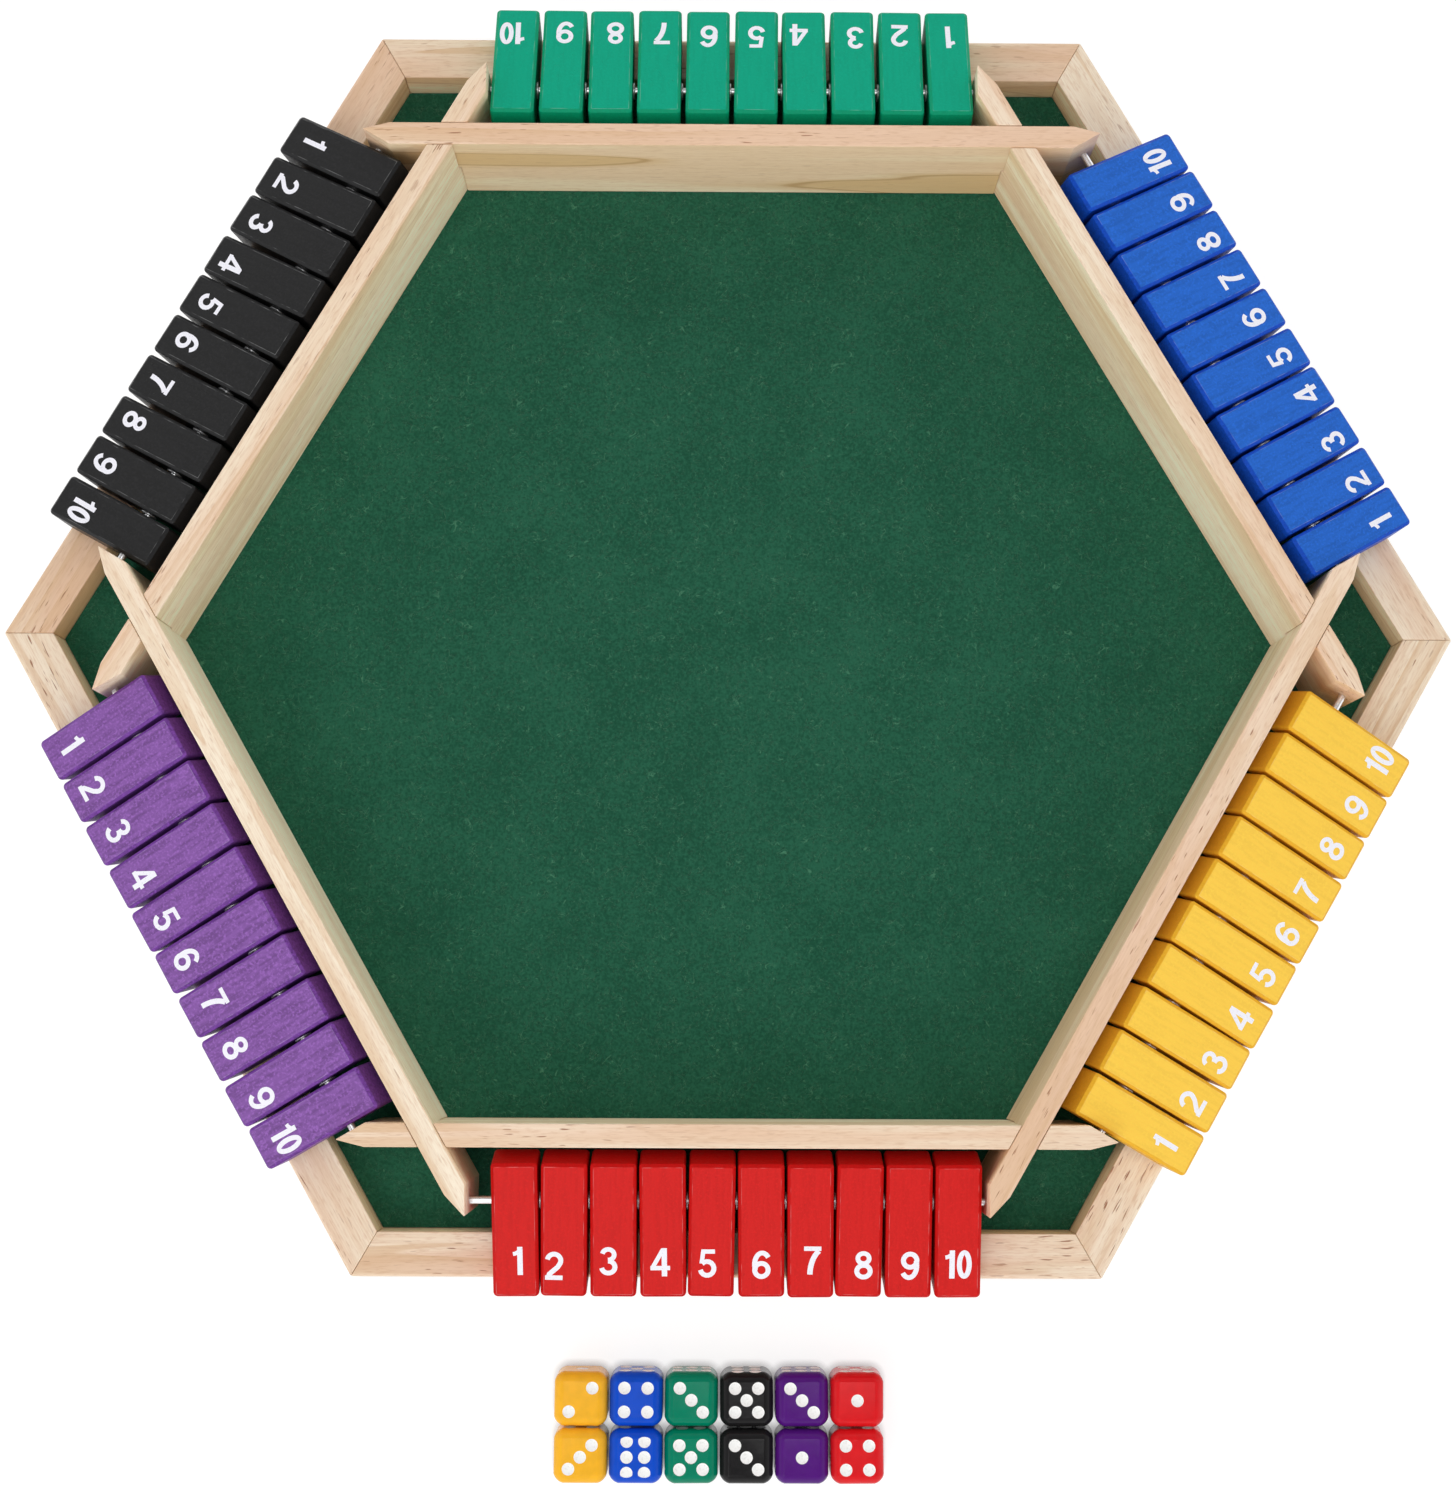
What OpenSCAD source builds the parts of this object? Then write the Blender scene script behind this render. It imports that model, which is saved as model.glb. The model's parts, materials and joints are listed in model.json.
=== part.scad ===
// Six-sided shut the box game: a low hexagonal frame round a felt floor, six half-lapped inner
// walls that make a dice tray, and ten numbered flaps on a steel rod along each side.
// Origin: centre of the board's underside. +Z is up, and the red row faces -Y.

/* [Tray and walls] */
// Distance between two opposite inner walls, across the dice tray
tray_flat = 257; // [235:1:290]
// Thickness of an inner wall
wall_t = 6; // [5:0.5:8]
// Height of the inner walls above the felt
wall_h = 33; // [30:0.5:40]
// How far a wall's pointed tip lies in from its outer face
tip_in = 1.8; // [1:0.1:2.5]
// Distance between a wall's tip and the frame
tip_gap = 5.75; // [4:0.25:8]
// Clearance between two crossing walls in each other's notches
lap_gap = 0.1; // [0.05:0.05:0.3]

/* [Frame and floor] */
// Distance between an inner wall and the frame, where the flaps hang
bay_depth = 22.9; // [21:0.1:26]
// Width of a frame rail
rail_w = 11.5; // [9:0.5:15]
// Height of the frame rails above the felt
rail_up = 9.8; // [7:0.2:12]
// Chamfer on the outer top edge of a rail, where the flaps rest
rail_ease = 0.6; // [0.3:0.1:1.5]
// How far the base board reaches under a rail
rabbet = 5; // [3:0.5:7]
// Gap between two rails at their mitre
mitre_gap = 0.08; // [0.04:0.02:0.2]
// Thickness of the base board
board_t = 4; // [3:0.5:8]
// Thickness of the felt lining
felt_t = 1; // [0.5:0.1:2]
// Clearance round the board in its rabbet, and round the felt in the frame
floor_gap = 0.2; // [0.1:0.05:0.4]

/* [Rods and washers] */
// Diameter of a hinge rod
rod_d = 2; // [1.6:0.1:2.4]
// Distance from an inner wall's outer face to the rod's centre
rod_out = 13.7; // [13:0.1:15]
// Height of the rod's centre above the felt
rod_up = 22.2; // [21:0.1:24]
// How deep the end of a rod sits in a wall's tip
rod_seat = 1.5; // [1:0.1:1.8]
// Clearance round the rod in that seat, and at its end
seat_gap = 0.05; // [0.02:0.01:0.1]
// Outer diameter of a spacer washer
washer_d = 4.6; // [4:0.1:6]
// Thickness of a spacer washer
washer_t = 0.5; // [0.3:0.1:0.6]
// Clearance between a washer and the rod through it
washer_gap = 0.1; // [0.05:0.01:0.15]

/* [Flaps] */
// Thickness of a flap
flap_t = 11.3; // [10:0.1:12]
// Widest gap between two flaps, which holds a washer
flap_gap = 1.5; // [1.4:0.1:2.5]
// Narrowest clearance between a washer and the flap beside it
washer_side = 0.12; // [0.1:0.01:0.2]
// Least clearance between the last flap of a row and the wall's tip
end_gap = 0.3; // [0.2:0.1:1]
// How far a flap reaches past the edge that it rests on
flap_over = 1.2; // [0.5:0.1:4]
// Clearance between a flap's inner end and the wall, as it swings
swing_gap = 0.7; // [0.4:0.1:1.5]
// Clearance between a flap at rest and the rail's edge
rest_gap = 0.25; // [0.15:0.05:0.4]
// Clearance round the rod in a flap's bore
bore_gap = 0.08; // [0.04:0.01:0.1]
// Chamfer on the flap's edges
flap_ease = 0.7; // [0.3:0.1:1.2]
// Radius of the two corners at the flap's outer end, seen on its face
flap_round = 1.4; // [0.8:0.1:2.5]

/* [Dice] */
// Side of a die
die = 14; // [12:0.5:16]
// Gap between two dice
die_gap = 0.3; // [0.2:0.1:2]
// Chamfer on a die's edges
die_ease = 1.2; // [0.6:0.1:1.6]
// How far a die's corners are rounded off, from the sharp corner inwards
die_corner = 1.7; // [1:0.1:2.5]
// Diameter of a pip
pip_d = 3.3; // [2:0.1:3.4]
// Depth of a pip
pip_depth = 0.45; // [0.2:0.05:0.6]
// Distance from a die's centre line to the outer pips of its 2, 3, 4 and 5
pip_pitch = 3; // [2.9:0.1:3.6]
// Distance from the centre line to a row of three pips on the 6
six_across = 2.3; // [2:0.1:3]
// Distance between two pips of such a row
six_along = 4; // [3.6:0.1:4.1]
// Distance between the frame and the dice laid out in front of it
dice_away = 24; // [10:1:60]
// How far the middle of the dice lies to the left of the board's middle
dice_left = 1.8; // [-20:0.1:20]

/* [Hidden] */
$fn = 48;
COLOURS = ["green", "blue", "yellow", "red", "purple", "black"];
SINGLES = 8;
FLAPS = 10;
// In each row: how far its gaps are open, from 0 to 1, and how far it is pushed to one end, from -1 to 1
SPREAD = [0.82, 0.24, 0.16, 0, 0.5, 0.57];
PUSH = [0, -0.9, -0.75, 0.7, 0.1, 0];
PAINT = [[0, 0.63, 0.5], [0.18, 0.38, 0.76], [1, 0.79, 0.29], [0.84, 0.14, 0.13], [0.5, 0.3, 0.62], [0.15, 0.15, 0.15]];
PINE = [0.9, 0.8, 0.66];
STEEL = [0.75, 0.75, 0.77];
FELT = [0.13, 0.33, 0.24];
BOARD = [0.78, 0.68, 0.52];

function is_pair(i) = i > SINGLES;
function flap_name(k, i) = is_pair(i) ? str("flaps_", COLOURS[k], "_9_10") : str("flap_", COLOURS[k], "_", i);
FLAP_NODES = [for (k = [0:5], i = [1:SINGLES + 1]) flap_name(k, i)];

// Heights above the underside
felt_top = board_t + felt_t;
rail_top = felt_top + rail_up;
wall_top = felt_top + wall_h;
rod_z = felt_top + rod_up;

// Distances from the centre, square to a side
wall_in = tray_flat / 2;
wall_out = wall_in + wall_t;
tip_a = wall_out - tip_in;
frame_in = wall_out + bay_depth;
frame_out = frame_in + rail_w;
rod_a = wall_out + rod_out;

// A wall's tip: its distance along the wall, where its bevels start, and half a bay's length
tip_u = (frame_in - tip_gap - tip_a * cos(60)) / sin(60);
nose_u = tip_u - (tip_a - wall_in) / tan(30);
bay_half = tip_a * sin(60) - tip_u * cos(60);

// Flap widths that fill the bay, and the gap and start of each row
row_room = 2 * (bay_half - end_gap);
flap_w = (row_room - (FLAPS - 1) * flap_gap) / FLAPS;
least_gap = washer_t + 2 * washer_side;
function row_gap(k) = least_gap + SPREAD[k] * (flap_gap - least_gap);
function row_len(k) = FLAPS * flap_w + (FLAPS - 1) * row_gap(k);
function row_mid(k) = PUSH[k] * (row_room - row_len(k)) / 2;
function flap_u(k, i) = row_mid(k) - row_len(k) / 2 + flap_w / 2 + (i - 1) * (flap_w + row_gap(k));
function row_turn(k) = 90 - 60 * k;

// The rail's edge that carries the flap, seen from the rod, and the flap's lengths and slope
edge_x = frame_out - rail_ease - rod_a;
edge_z = rail_top - rod_z;
edge_far = norm([edge_x, edge_z]);
lift = flap_t / 2 + rest_gap;
flap_tilt = -atan2(edge_z, edge_x) - asin(lift / edge_far);
flap_outer = sqrt(edge_far * edge_far - lift * lift) + flap_over;
flap_inner = sqrt(pow(rod_out - swing_gap, 2) - pow(flap_t / 2, 2));

// Places the children on side k, with +X outward and +Y along the side
module on_side(k) rotate([0, 0, row_turn(k)]) children();

// Extrudes a profile drawn as [distance from the centre, height] along a side
module along_side(length) rotate([90, 0, 0]) linear_extrude(length, center = true) children();

// Hexagon with its flats at a distance a from the centre, one of them at +Y
module hexagon(a) circle(a / cos(30), $fn = 6);

module base_board() {
    color(BOARD) linear_extrude(board_t) hexagon(frame_in + rabbet - floor_gap);
}

module felt_lining() {
    color(FELT) translate([0, 0, board_t]) linear_extrude(felt_t) hexagon(frame_in - floor_gap);
}

module rail_profile() {
    polygon([
        [frame_in + rabbet, 0], [frame_out, 0], [frame_out, rail_top - rail_ease],
        [frame_out - rail_ease, rail_top], [frame_in, rail_top], [frame_in, board_t],
        [frame_in + rabbet, board_t]
    ]);
}

// One sixth of the plan, whose two edges are the mitres
module mitre_sector() {
    reach = 2 * frame_out;
    translate([mitre_gap / 2 / sin(30), 0, -1]) linear_extrude(rail_top + 2)
        polygon([[0, 0], [reach, -reach * tan(30)], [reach, reach * tan(30)]]);
}

module frame_rails() {
    color(PINE) for (k = [0:5]) on_side(k) intersection() {
        along_side(2 * frame_out) rail_profile();
        mitre_sector();
    }
}

module wall_plan() {
    polygon([
        [wall_in, -nose_u], [wall_in, nose_u], [tip_a, tip_u],
        [wall_out, nose_u], [wall_out, -nose_u], [tip_a, -tip_u]
    ]);
}

// The space that a crossing wall takes in this one, over half the height
module lap_notch(side, from_below) {
    depth = wall_h / 2 + lap_gap / 2;
    base = from_below ? felt_top - 1 : wall_top - depth;
    rotate([0, 0, 60 * side]) translate([wall_in - lap_gap, -tip_u, base])
        cube([wall_t + 2 * lap_gap, 2 * tip_u, depth + 1]);
}

module rod(length, d) {
    translate([rod_a, 0, rod_z]) rotate([90, 0, 0]) cylinder(h = length, d = d, center = true);
}

// Every other wall is notched from below and bridges its neighbours; the rest are notched from above
module inner_wall(k) {
    difference() {
        translate([0, 0, felt_top]) linear_extrude(wall_h) wall_plan();
        for (side = [-1, 1]) {
            lap_notch(side, k % 2 == 0);
            rotate([0, 0, 60 * side]) rod(2 * (bay_half + rod_seat), rod_d + 2 * seat_gap);
        }
    }
}

module inner_walls() {
    color(PINE) for (k = [0:5]) on_side(k) inner_wall(k);
}

module washer() {
    rotate([90, 0, 0]) difference() {
        cylinder(h = washer_t, d = washer_d, center = true);
        cylinder(h = 2 * washer_t, d = rod_d + 2 * washer_gap, center = true);
    }
}

module hinge_rods_and_washers() {
    color(STEEL) for (k = [0:5]) on_side(k) {
        rod(2 * (bay_half + rod_seat - seat_gap), rod_d);
        for (i = [1:FLAPS - 1])
            translate([rod_a, (flap_u(k, i) + flap_u(k, i + 1)) / 2, rod_z]) washer();
    }
}

// Rectangle with chamfered corners, centred
module eased_rect(w, h, c) {
    polygon([
        [-w / 2 + c, -h / 2], [w / 2 - c, -h / 2], [w / 2, -h / 2 + c], [w / 2, h / 2 - c],
        [w / 2 - c, h / 2], [-w / 2 + c, h / 2], [-w / 2, h / 2 - c], [-w / 2, -h / 2 + c]
    ]);
}

// The flap's outline on its face, with two round corners at the outer end
module flap_plan() {
    r = flap_round;
    translate([-flap_inner, -flap_w / 2]) square([flap_inner + flap_outer - r, flap_w]);
    translate([0, -flap_w / 2 + r]) square([flap_outer, flap_w - 2 * r]);
    for (side = [-1, 1]) translate([flap_outer - r, side * (flap_w / 2 - r)]) circle(r);
}

// One flap about its bore: +X to the outer end, +Z out of the numbered face
module flap_block() {
    length = flap_inner + flap_outer;
    middle = (flap_outer - flap_inner) / 2;
    over = 1;
    difference() {
        intersection() {
            linear_extrude(flap_t + over, center = true) flap_plan();
            translate([middle, 0, 0]) rotate([90, 0, 90])
                linear_extrude(length + over, center = true) eased_rect(flap_w, flap_t, flap_ease);
            translate([middle, 0, 0]) along_side(flap_w + over) eased_rect(length, flap_t, flap_ease);
        }
        rotate([90, 0, 0]) cylinder(h = flap_w + over, d = rod_d + 2 * bore_gap, center = true);
    }
}

// Flap i of row k, and for the last name of a row the two flaps that share it
module flap(k, i) {
    numbers = is_pair(i) ? [i, i + 1] : [i];
    color(PAINT[k]) on_side(k) for (n = numbers)
        translate([rod_a, flap_u(k, n), rod_z]) rotate([0, flap_tilt, 0]) flap_block();
}

// A cube whose edges are chamfered and whose corners are cut round by a sphere
module die_body() {
    over = die + 1;
    intersection() {
        linear_extrude(over, center = true) eased_rect(die, die, die_ease);
        rotate([90, 0, 0]) linear_extrude(over, center = true) eased_rect(die, die, die_ease);
        rotate([0, 90, 0]) linear_extrude(over, center = true) eased_rect(die, die, die_ease);
        sphere(sqrt(3) * die / 2 - die_corner);
    }
}

// Where the pips of each face lie, from 1 to 6
MID = [[0, 0]];
DIAGONAL = [for (s = [-1, 1]) [s * pip_pitch, s * pip_pitch]];
FOUR = concat(DIAGONAL, [for (s = [-1, 1]) [-s * pip_pitch, s * pip_pitch]]);
SIX = [for (x = [-1, 1], y = [-1, 0, 1]) [x * six_across, y * six_along]];
PIPS = [MID, DIAGONAL, concat(DIAGONAL, MID), FOUR, concat(FOUR, MID), SIX];
// Turn that brings each face of a die, from 1 to 6, to the top
FACE_UP = [[0, 0, 0], [-90, 0, 0], [0, -90, 0], [0, 90, 0], [90, 0, 0], [180, 0, 0]];

module pips() {
    ball = (pip_d * pip_d / 4 + pip_depth * pip_depth) / (2 * pip_depth);
    up = die / 2 - pip_depth + ball;
    for (face = [1:6]) {
        turn = FACE_UP[face - 1];
        // The inverse of the turn: its angles in reverse order and with opposite signs
        rotate([-turn.x, 0, 0]) rotate([0, -turn.y, 0])
            for (p = PIPS[face - 1]) translate([p.x, p.y, up]) sphere(ball);
    }
}

// Each die as [column, row, upper face, quarter turns], with the back row first
DICE = [
    [0, 1, 2, 0], [1, 1, 4, 0], [2, 1, 3, 1], [3, 1, 5, 0], [4, 1, 3, 1], [5, 1, 1, 0],
    [0, 0, 3, 0], [1, 0, 6, 0], [2, 0, 5, 0], [3, 0, 3, 1], [4, 0, 1, 0], [5, 0, 4, 0]
];
DIE_PAINT = [PAINT[2], PAINT[1], PAINT[0], PAINT[5], PAINT[4], PAINT[3]];

module dice() {
    pitch = die + die_gap;
    front = -frame_out - dice_away - die / 2 - pitch;
    for (d = DICE) color(DIE_PAINT[d[0]])
        translate([(d[0] - 2.5) * pitch - dice_left, front + d[1] * pitch, die / 2])
            rotate([0, 0, 90 * d[3]]) rotate(FACE_UP[d[2] - 1]) difference() {
                die_body();
                pips();
            }
}

base_board();
felt_lining();
frame_rails();
inner_walls();
hinge_rods_and_washers();
dice();
for (k = [0:5], i = [1:SINGLES + 1]) flap(k, i);
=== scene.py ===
"""Six-sided shut the box game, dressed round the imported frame. Lengths are in metres.

Every piece takes its place and its main sizes from the CAD nodes. A side's own frame has +X
outward, +Y along the side and +Z up; a flap's own frame has +X towards its outer end, +Y along
the rod and +Z out of its numbered face.
"""
import json
import math
import random

import bmesh
import bpy
from mathutils import Matrix, Vector, noise


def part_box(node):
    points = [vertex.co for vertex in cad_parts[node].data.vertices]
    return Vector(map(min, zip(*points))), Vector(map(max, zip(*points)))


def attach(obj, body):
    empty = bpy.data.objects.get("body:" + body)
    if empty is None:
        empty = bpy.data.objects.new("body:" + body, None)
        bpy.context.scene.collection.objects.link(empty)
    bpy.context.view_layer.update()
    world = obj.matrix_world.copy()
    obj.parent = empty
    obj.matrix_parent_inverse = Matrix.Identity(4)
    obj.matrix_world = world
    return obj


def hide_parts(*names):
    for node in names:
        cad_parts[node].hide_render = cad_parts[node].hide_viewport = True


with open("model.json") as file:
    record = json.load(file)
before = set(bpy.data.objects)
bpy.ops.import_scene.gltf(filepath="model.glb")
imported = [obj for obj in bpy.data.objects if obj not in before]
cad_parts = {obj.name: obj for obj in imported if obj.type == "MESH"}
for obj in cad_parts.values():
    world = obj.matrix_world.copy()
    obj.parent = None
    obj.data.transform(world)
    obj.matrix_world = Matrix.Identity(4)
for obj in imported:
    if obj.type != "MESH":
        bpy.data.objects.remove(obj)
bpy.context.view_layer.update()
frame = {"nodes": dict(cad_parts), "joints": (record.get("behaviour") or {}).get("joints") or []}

MM = 0.001
# The sides of the hexagon, clockwise from above, from the one at the back
COLOURS = ("green", "blue", "yellow", "red", "purple", "black")
# Points in a drawn circle, and steps in a rounded corner
CIRCLE_POINTS = 32
CORNER_STEPS = 6

# Camera, fitted to the photograph: its place, its turn in degrees and its lens in millimetres
CAMERA_PLACE = (-0.00306, -0.10331, 0.590)
CAMERA_TURN = (7.2865, -0.3155, 0.2434)
CAMERA_LENS = 52.29
CAMERA_REACH = (0.01, 20)

# A light tent: its brightness at the horizon and overhead, and the lamps as (place, size, power)
WORLD_LIGHT = (1.75, 0.1)
LAMPS = {"key": ((-0.5, -0.9, 1.3), 0.9, 5), "top": ((0, -0.1, 1.5), 0.7, 4.5)}
FLOOR_HALF = 4
# How bright the camera sees the floor glow, and its grey for the camera and for other rays
FLOOR_GLOW, FLOOR_SEEN, FLOOR_COLOUR = 0.8, 0.3, 0.6
# How near to a piece the glow fades, as a painted contact shade
FLOOR_CONTACT = 2.5 * MM

# Copies of the CAD solids: points this near are welded, and faces this flat are joined
WELD = 0.002 * MM
FLAT_ANGLE = math.radians(1.5)
# Convex edges that are longer and sharper than this are rounded, by these widths
SHORTEST_EASED = 1.5 * MM
EASE_ANGLE = math.radians(30)
EASE_STEPS = 3
RAIL_EASE = 0.35 * MM
WALL_EASE = 0.4 * MM
# Edges sharper than this are shaded as sharp
SMOOTH_ANGLE = math.radians(22)

# Wood: for the piece on each side, its tint from yellowish to salmon
RAIL_TINTS = (0.5, 0.25, 0.15, 0.3, 0.2, 0.8)
WALL_TINTS = (0.9, 0.6, 0.85, 0.5, 0.15, 0.35)
# How strongly golden heartwood shows in it
RAIL_HEARTS = (0.35, 0.3, 0.25, 0.4, 0.2, 0.3)
WALL_HEARTS = (0.75, 0.25, 0.4, 0.3, 0.15, 0.25)
# How far from its innermost plane a point is on the inner face, which is painted paler and more olive:
# painted light, with the felt's green bounce painted in
INNER_FACE = 0.05 * MM
INNER_PAINTED_LIGHT = (1.13, 1.22, 1.16, 1)

# Flaps: how far the chamfer's profile lies in from the side and down from the face, from its top
FLAP_CHAMFER = ((0.98 * MM, 0), (0.74 * MM, 0.05 * MM), (0.05 * MM, 0.66 * MM), (0, 0.9 * MM))
# How far below the face the painted shade of a bevel is whole
EDGE_WIDE = 0.05 * MM
# Radii of the corners at the outer and the inner end, seen on the face
FLAP_ROUND = 1.25 * MM
FLAP_INNER_ROUND = 1 * MM
BORE_RADIUS = 1.08 * MM
# How skew a flap can be, and how much shorter than its node the shortest and the longest are
FLAP_YAW = math.radians(0.7)
FLAP_SHORTEST, FLAP_LONGEST = 0.45 * MM, 0.12 * MM

# Numbers: their height, how far they stand out of the face and reach into it, and their skew
NUMBER_TALL = 7.55 * MM
NUMBER_PROUD = 0.04 * MM
NUMBER_SUNK = 0.15 * MM
NUMBER_TURN = math.radians(1.2)
# Where the middle of each number from 1 to 10 is printed, in millimetres: how far from the
# flap's outer end, and how far across from its middle
PRINTED = {
    "green": ((9.5, -0.7), (9.1, 0.2), (9.9, -0.8), (9.0, 1.4), (9.8, 0), (9.7, -0.2),
              (8.8, -0.5), (8.8, -1.0), (8.7, -0.1), (9.1, 1.2)),
    "blue": ((8.8, -1.7), (8.8, -2.0), (8.5, -2.2), (7.6, -0.4), (8.6, -0.6), (9.0, -0.6),
             (8.4, -1.0), (8.5, -1.7), (9.0, -1.2), (8.8, -0.4)),
    "yellow": ((9.7, -1.2), (8.6, -0.9), (8.5, -1.6), (8.2, -0.8), (8.3, -0.8), (7.9, -0.8),
               (8.5, -1.1), (8.5, -0.6), (7.9, -0.4), (8.6, 0.9)),
    "red": ((10.0, 0.6), (8.7, -2.4), (10.0, -1.2), (9.8, -0.7), (9.5, -1.0), (9.2, 0),
            (10.4, 0.5), (9.2, 1.2), (9.1, 0.4), (9.5, 0.1)),
    "purple": ((8.8, -0.5), (8.2, -0.6), (8.7, -0.3), (8.6, 0.6), (8.8, 0.3), (8.5, -0.5),
               (9.8, -0.3), (8.8, 0), (8.6, 1.6), (9.3, 1.2)),
    "black": ((9.6, -0.5), (8.9, 0.4), (8.6, 0.7), (7.7, 1.0), (8.7, 0.6), (9.0, -0.2),
              (8.9, 0.1), (8.5, -0.7), (7.8, 0.4), (9.4, 1.1)),
}

# Rods and washers
STEEL_NODE = "hinge_rods_and_washers"
ROD_RADIUS = 1 * MM
ROD_EASE = 0.25 * MM
# How far from its axis a rod's own points may lie
ROD_NEAR = 1.02 * ROD_RADIUS
WASHER_RADIUS = 2.3 * MM
WASHER_HOLE = 1.1 * MM
WASHER_THICK = 0.5 * MM
WASHER_EASE = 0.18 * MM
# How much of a mirror the washers' plating is
PLATING_METALLIC = 0.8
# How near a washer has slid to a flap, and which way on each side: 0 is apart
WASHER_PLAY = 0.04 * MM
WASHER_WAYS = (0, 1, 1, 0, -1, -1)

# Dice
DIE_COLUMNS = ("yellow", "blue", "green", "black", "purple", "red")
DIE_ROUND = 2.5 * MM
DIE_STEPS = 8
# How far out a corner may reach, and what is kept of its reach beyond
DIE_REACH, DIE_KEPT = 9.2 * MM, 0.55
# How skew a die can lie, and how much smaller than its node it is
DIE_YAW = math.radians(0.6)
DIE_SMALLER = 0.12 * MM
PIP_RADIUS = 1.6 * MM
PIP_DEPTH = 0.35 * MM
PIP_STEPS = 6
# How deep the white begins below the face
PIP_LIP = 0.1 * MM
# How far the tool that cuts a pip stands out of the face
PIP_OVER = 1 * MM
# Where the outer pips lie, as fractions of the die's half width: on the 2 to 5, and on the 6
PIP_FAR = 0.43
SIX_ACROSS, SIX_ALONG = 0.33, 0.57

# Felt: how often each sixth is divided, and how deep and how fine its unevenness is
FELT_CUTS = 90
FELT_NAP = 0.12 * MM
FELT_LUMPS = 700


# ---- Colours ----

def srgb(red, green, blue):
    """Linear colour of an sRGB one, with channels from 0 to 255."""
    def linear(c):
        c /= 255
        return c / 12.92 if c <= 0.04045 else ((c + 0.055) / 1.055) ** 2.4
    return (linear(red), linear(green), linear(blue), 1)


def scaled(colour, by):
    """The colour made lighter or darker."""
    return (*(min(1, c * by) for c in colour[:3]), 1)


WOOD_YELLOWISH, WOOD_SALMON = srgb(252, 237, 214), srgb(237, 202, 174)
WOOD_RING, WOOD_HEART, WOOD_RIM = srgb(216, 174, 126), srgb(216, 174, 122), srgb(184, 138, 92)
WOOD_FIBRE, WOOD_FLECK, WOOD_DASH = srgb(214, 174, 138), srgb(212, 170, 134), srgb(150, 92, 58)
FELT_DEEP, FELT_MID, FELT_LIGHT = srgb(27, 80, 59), srgb(40, 99, 75), srgb(88, 148, 116)
# How deep and how rich the painted shade on a flap's bevels is
BEVEL_SHADE_DEPTH, BEVEL_SHADE_RICHNESS = 0.86, 0.35
# Each paint's colour, how deep and light it gets, how much its pits show, and its gloss
PAINTS = {
    "green": (srgb(0, 164, 130), 0.94, 1.06, 0.2, 0.1),
    "blue": (srgb(36, 103, 203), 0.84, 1.16, 0.7, 0.12),
    "yellow": (srgb(255, 207, 80), 0.94, 1.04, 0.1, 0.1),
    "red": (srgb(211, 35, 33), 0.93, 1.06, 0.25, 0.1),
    "purple": (srgb(135, 90, 164), 0.7, 1.32, 0.6, 0.12),
    "black": (srgb(25, 25, 26), 0.8, 1.45, 0.4, 0.25),
}
# The plastic of the dice
DIE_PAINTS = {
    "yellow": srgb(252, 186, 44), "blue": srgb(14, 78, 204), "green": srgb(0, 130, 98),
    "black": srgb(30, 29, 30), "purple": srgb(84, 24, 124), "red": srgb(224, 28, 34),
}


# ---- Meshes ----

def make_object(name, bm, materials):
    """Turns bm into a smooth-shaded object."""
    mesh = bpy.data.meshes.new(name)
    bmesh.ops.recalc_face_normals(bm, faces=bm.faces)
    bm.to_mesh(mesh)
    bm.free()
    for material in materials:
        mesh.materials.append(material)
    mesh.shade_smooth()
    mesh.set_sharp_from_angle(angle=SMOOTH_ANGLE)
    piece = bpy.data.objects.new(name, mesh)
    bpy.context.scene.collection.objects.link(piece)
    weighted = piece.modifiers.new("normals", "WEIGHTED_NORMAL")
    weighted.keep_sharp = True
    return piece


def dress(piece, body, node):
    """The piece rides the body and stands in for the node, which is hidden."""
    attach(piece, body)
    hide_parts(node)


def loft(bm, rings, closed=False):
    """Joins rings of points with faces, and caps the ends or closes the loop of rings."""
    made = [[bm.verts.new(p) for p in ring] for ring in rings]
    pairs = list(zip(made, made[1:]))
    if closed:
        pairs.append((made[-1], made[0]))
    for low, high in pairs:
        for i in range(len(low)):
            j = (i + 1) % len(low)
            bm.faces.new((low[i], low[j], high[j], high[i]))
    if not closed:
        bm.faces.new(made[0])
        bm.faces.new(made[-1])


def circle(radius, y):
    """Ring of points round the Y axis."""
    steps = [2 * math.pi * i / CIRCLE_POINTS for i in range(CIRCLE_POINTS)]
    return [(radius * math.cos(a), y, radius * math.sin(a)) for a in steps]


def islands(bm):
    """Groups of vertices that hang together, as {side of the hexagon: vertices}."""
    left, groups = set(bm.verts), {}
    while left:
        group = [left.pop()]
        for v in group:
            for near in (e.other_vert(v) for e in v.link_edges):
                if near in left:
                    left.discard(near)
                    group.append(near)
        middle = sum((v.co for v in group), Vector()) / len(group)
        angle = math.degrees(math.atan2(middle.y, middle.x))
        groups[round((90 - angle) / 60) % 6] = group
    return groups


def side_matrix(k):
    """Turns the frame of side k into the world's."""
    return Matrix.Rotation(math.radians(90 - 60 * k), 4, "Z")


def cad_copy(node):
    """The node's solids, welded and with their flat faces whole."""
    bm = bmesh.new()
    bm.from_mesh(frame["nodes"][node].data)
    bmesh.ops.remove_doubles(bm, verts=bm.verts, dist=WELD)
    bmesh.ops.dissolve_limit(bm, angle_limit=FLAT_ANGLE, verts=bm.verts, edges=bm.edges)
    return bm


def ease_edges(bm, width):
    """Rounds the longer convex edges."""
    edges = [
        e for e in bm.edges
        if e.is_manifold and e.is_convex and e.calc_length() > SHORTEST_EASED
        and e.calc_face_angle() > EASE_ANGLE
    ]
    bmesh.ops.bevel(
        bm, geom=edges, offset=width, segments=EASE_STEPS, profile=0.5, affect="EDGES",
        clamp_overlap=True,
    )


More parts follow.
